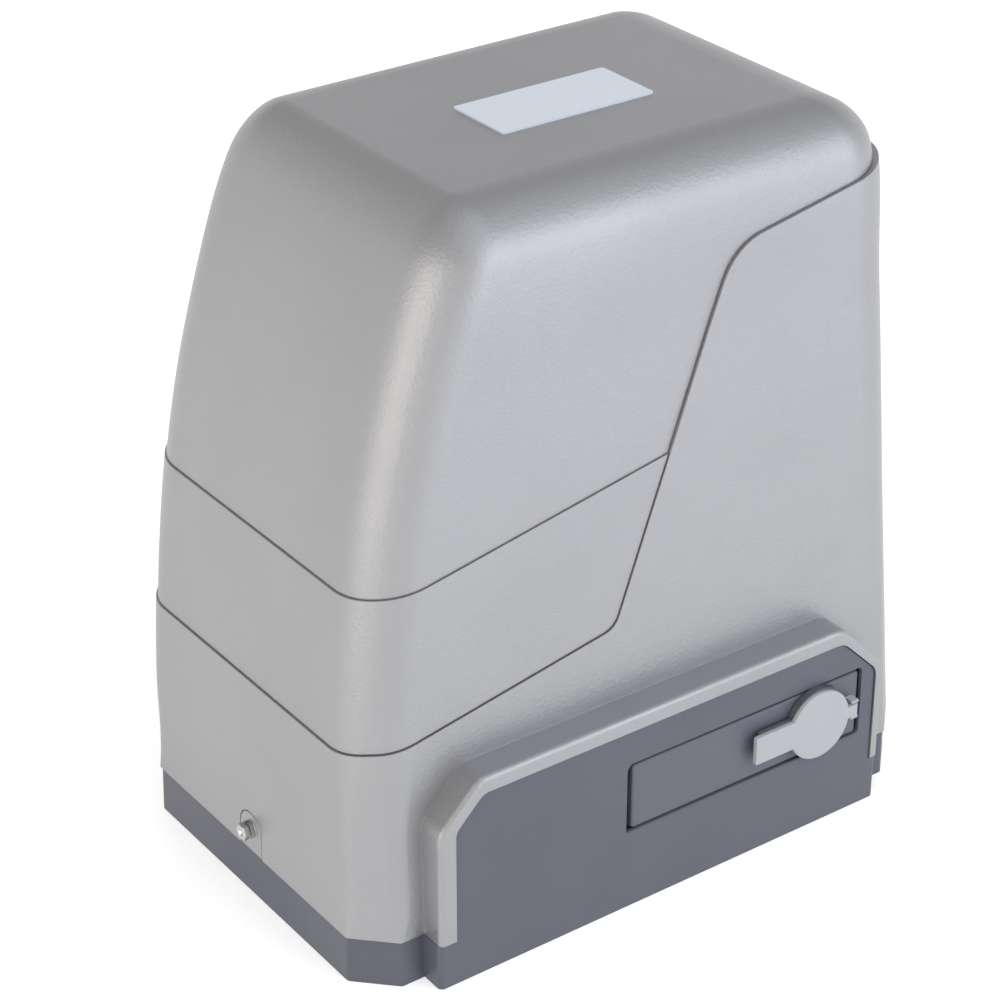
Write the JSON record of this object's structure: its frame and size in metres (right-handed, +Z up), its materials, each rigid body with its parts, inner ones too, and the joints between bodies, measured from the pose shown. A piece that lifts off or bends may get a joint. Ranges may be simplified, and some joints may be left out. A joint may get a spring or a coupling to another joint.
{
  "type": "sliding gate motor",
  "caption": "Sliding gate motor: lift-off moulded hood on a cast base with a keyed release lever, worm gear drive and output pinion.",
  "frame": {"origin": "centre of the base's mounting face, the face that lies on the foundation plate", "axes": "+Z up, X along the gate, -Y towards the release lever, +Y towards the output pinion and the gate"},
  "size_m": [0.3124, 0.2456, 0.3348],
  "materials": {
    "cover_paint": "satin",
    "plate_sheet": "brushed",
    "stainless": "satin",
    "base_paint": "satin",
    "lever_plastic": "satin",
    "ground_steel": "ground",
    "chrome_plate": "polished",
    "brass_plug": "satin",
    "cap_plastic": "satin",
    "cast_alloy": "as cast",
    "black_steel": "blackened",
    "zinc_steel": "zinc plated",
    "seal_rubber": "matte",
    "wheel_bronze": "machined",
    "spring_steel": "satin",
    "gear_steel": "zinc plated",
    "laminations": "laminated",
    "enamel_copper": "enamelled",
    "rotor_steel": "turned",
    "capacitor_plastic": "satin",
    "black_plastic": "matte",
    "coil_tape": "tape",
    "board_green": "solder mask",
    "relay_black": "satin",
    "terminal_green": "satin",
    "component_black": "satin"
  },
  "bodies": {
    "base": {"cover_screws": "stainless", "spring_washers": "stainless", "flat_washers": "stainless", "base_housing": "base_paint", "lever_pin": "ground_steel", "gearbox_housing": "cast_alloy", "gearbox_cap": "cast_alloy", "gearbox_cap_screws": "black_steel", "gearbox_bolts": "zinc_steel", "output_bearings": "ground_steel", "oil_seal": "seal_rubber", "stator_core": "laminations", "stator_windings": "enamel_copper", "lower_shield": "cast_alloy", "upper_shield": "cast_alloy", "motor_bearings": "ground_steel", "motor_bolts": "zinc_steel", "run_capacitor": "capacitor_plastic", "capacitor_clip": "black_plastic", "transformer_core": "laminations", "transformer_coil": "coil_tape", "control_board": "board_green", "board_bracket": "black_plastic", "board_screws": "zinc_steel", "relays": "relay_black", "terminal_blocks": "terminal_green", "board_pieces": "component_black", "limit_sensor": "black_plastic", "sensor_arm": "zinc_steel", "cable_grommet": "seal_rubber", "levelling_screws": "zinc_steel"},
    "cover": {"cover_shell": "cover_paint", "name_plate": "plate_sheet"},
    "lever": {"release_lever": "lever_plastic", "lock_barrel": "chrome_plate", "cap_hinge": "cap_plastic"},
    "lock": {"lock_plug": "brass_plug"},
    "cap": {"lock_cap": "cap_plastic"},
    "output": {"output_shaft": "ground_steel", "worm_wheel": "wheel_bronze", "output_pinion": "gear_steel", "pinion_key": "ground_steel", "pinion_washer": "zinc_steel", "pinion_bolt": "zinc_steel", "clutch_spring": "spring_steel"},
    "clutch": {"clutch_sleeve": "ground_steel", "release_rod": "ground_steel"},
    "rotor": {"rotor_shaft": "ground_steel", "rotor_core": "rotor_steel"}
  },
  "joints": [
    {"name": "cover_lift", "type": "slide", "parent": "base", "child": "cover", "axis": [0, 0, 1], "range_m": [0, 0.35]},
    {"name": "lever_swing", "type": "hinge", "parent": "base", "child": "lever", "pos_m": [-0.0175, -0.0965, 0.0567], "axis": [0, 0, -1], "range_deg": [0, 90]},
    {"name": "lock_turn", "type": "hinge", "parent": "lever", "child": "lock", "pos_m": [0.079, -0.1045, 0.0567], "axis": [0, -1, 0], "range_deg": [0, 90]},
    {"name": "cap_swing", "type": "hinge", "parent": "lever", "child": "cap", "pos_m": [0.09975, -0.1084, 0.0567], "axis": [0, 0, 1], "range_deg": [0, 110]},
    {"name": "rotor_turn", "type": "hinge", "parent": "base", "child": "rotor", "pos_m": [0.0235, 0, 0.0567], "axis": [0, 0, 1], "continuous": true},
    {"name": "output_turn", "type": "hinge", "parent": "base", "child": "output", "pos_m": [-0.0175, 0, 0.0567], "axis": [0, 1, 0], "continuous": true},
    {"name": "clutch_slide", "type": "slide", "parent": "output", "child": "clutch", "axis": [0, 1, 0], "range_m": [0, 0.006], "deforming": ["clutch_spring"]}
  ],
  "couplings": [
    {"joint": "output_turn", "follows": "rotor_turn", "ratio": 0.033333},
    {"joint": "clutch_slide", "follows": "lever_swing", "m_per_rad": 0.0038197}
  ]
}
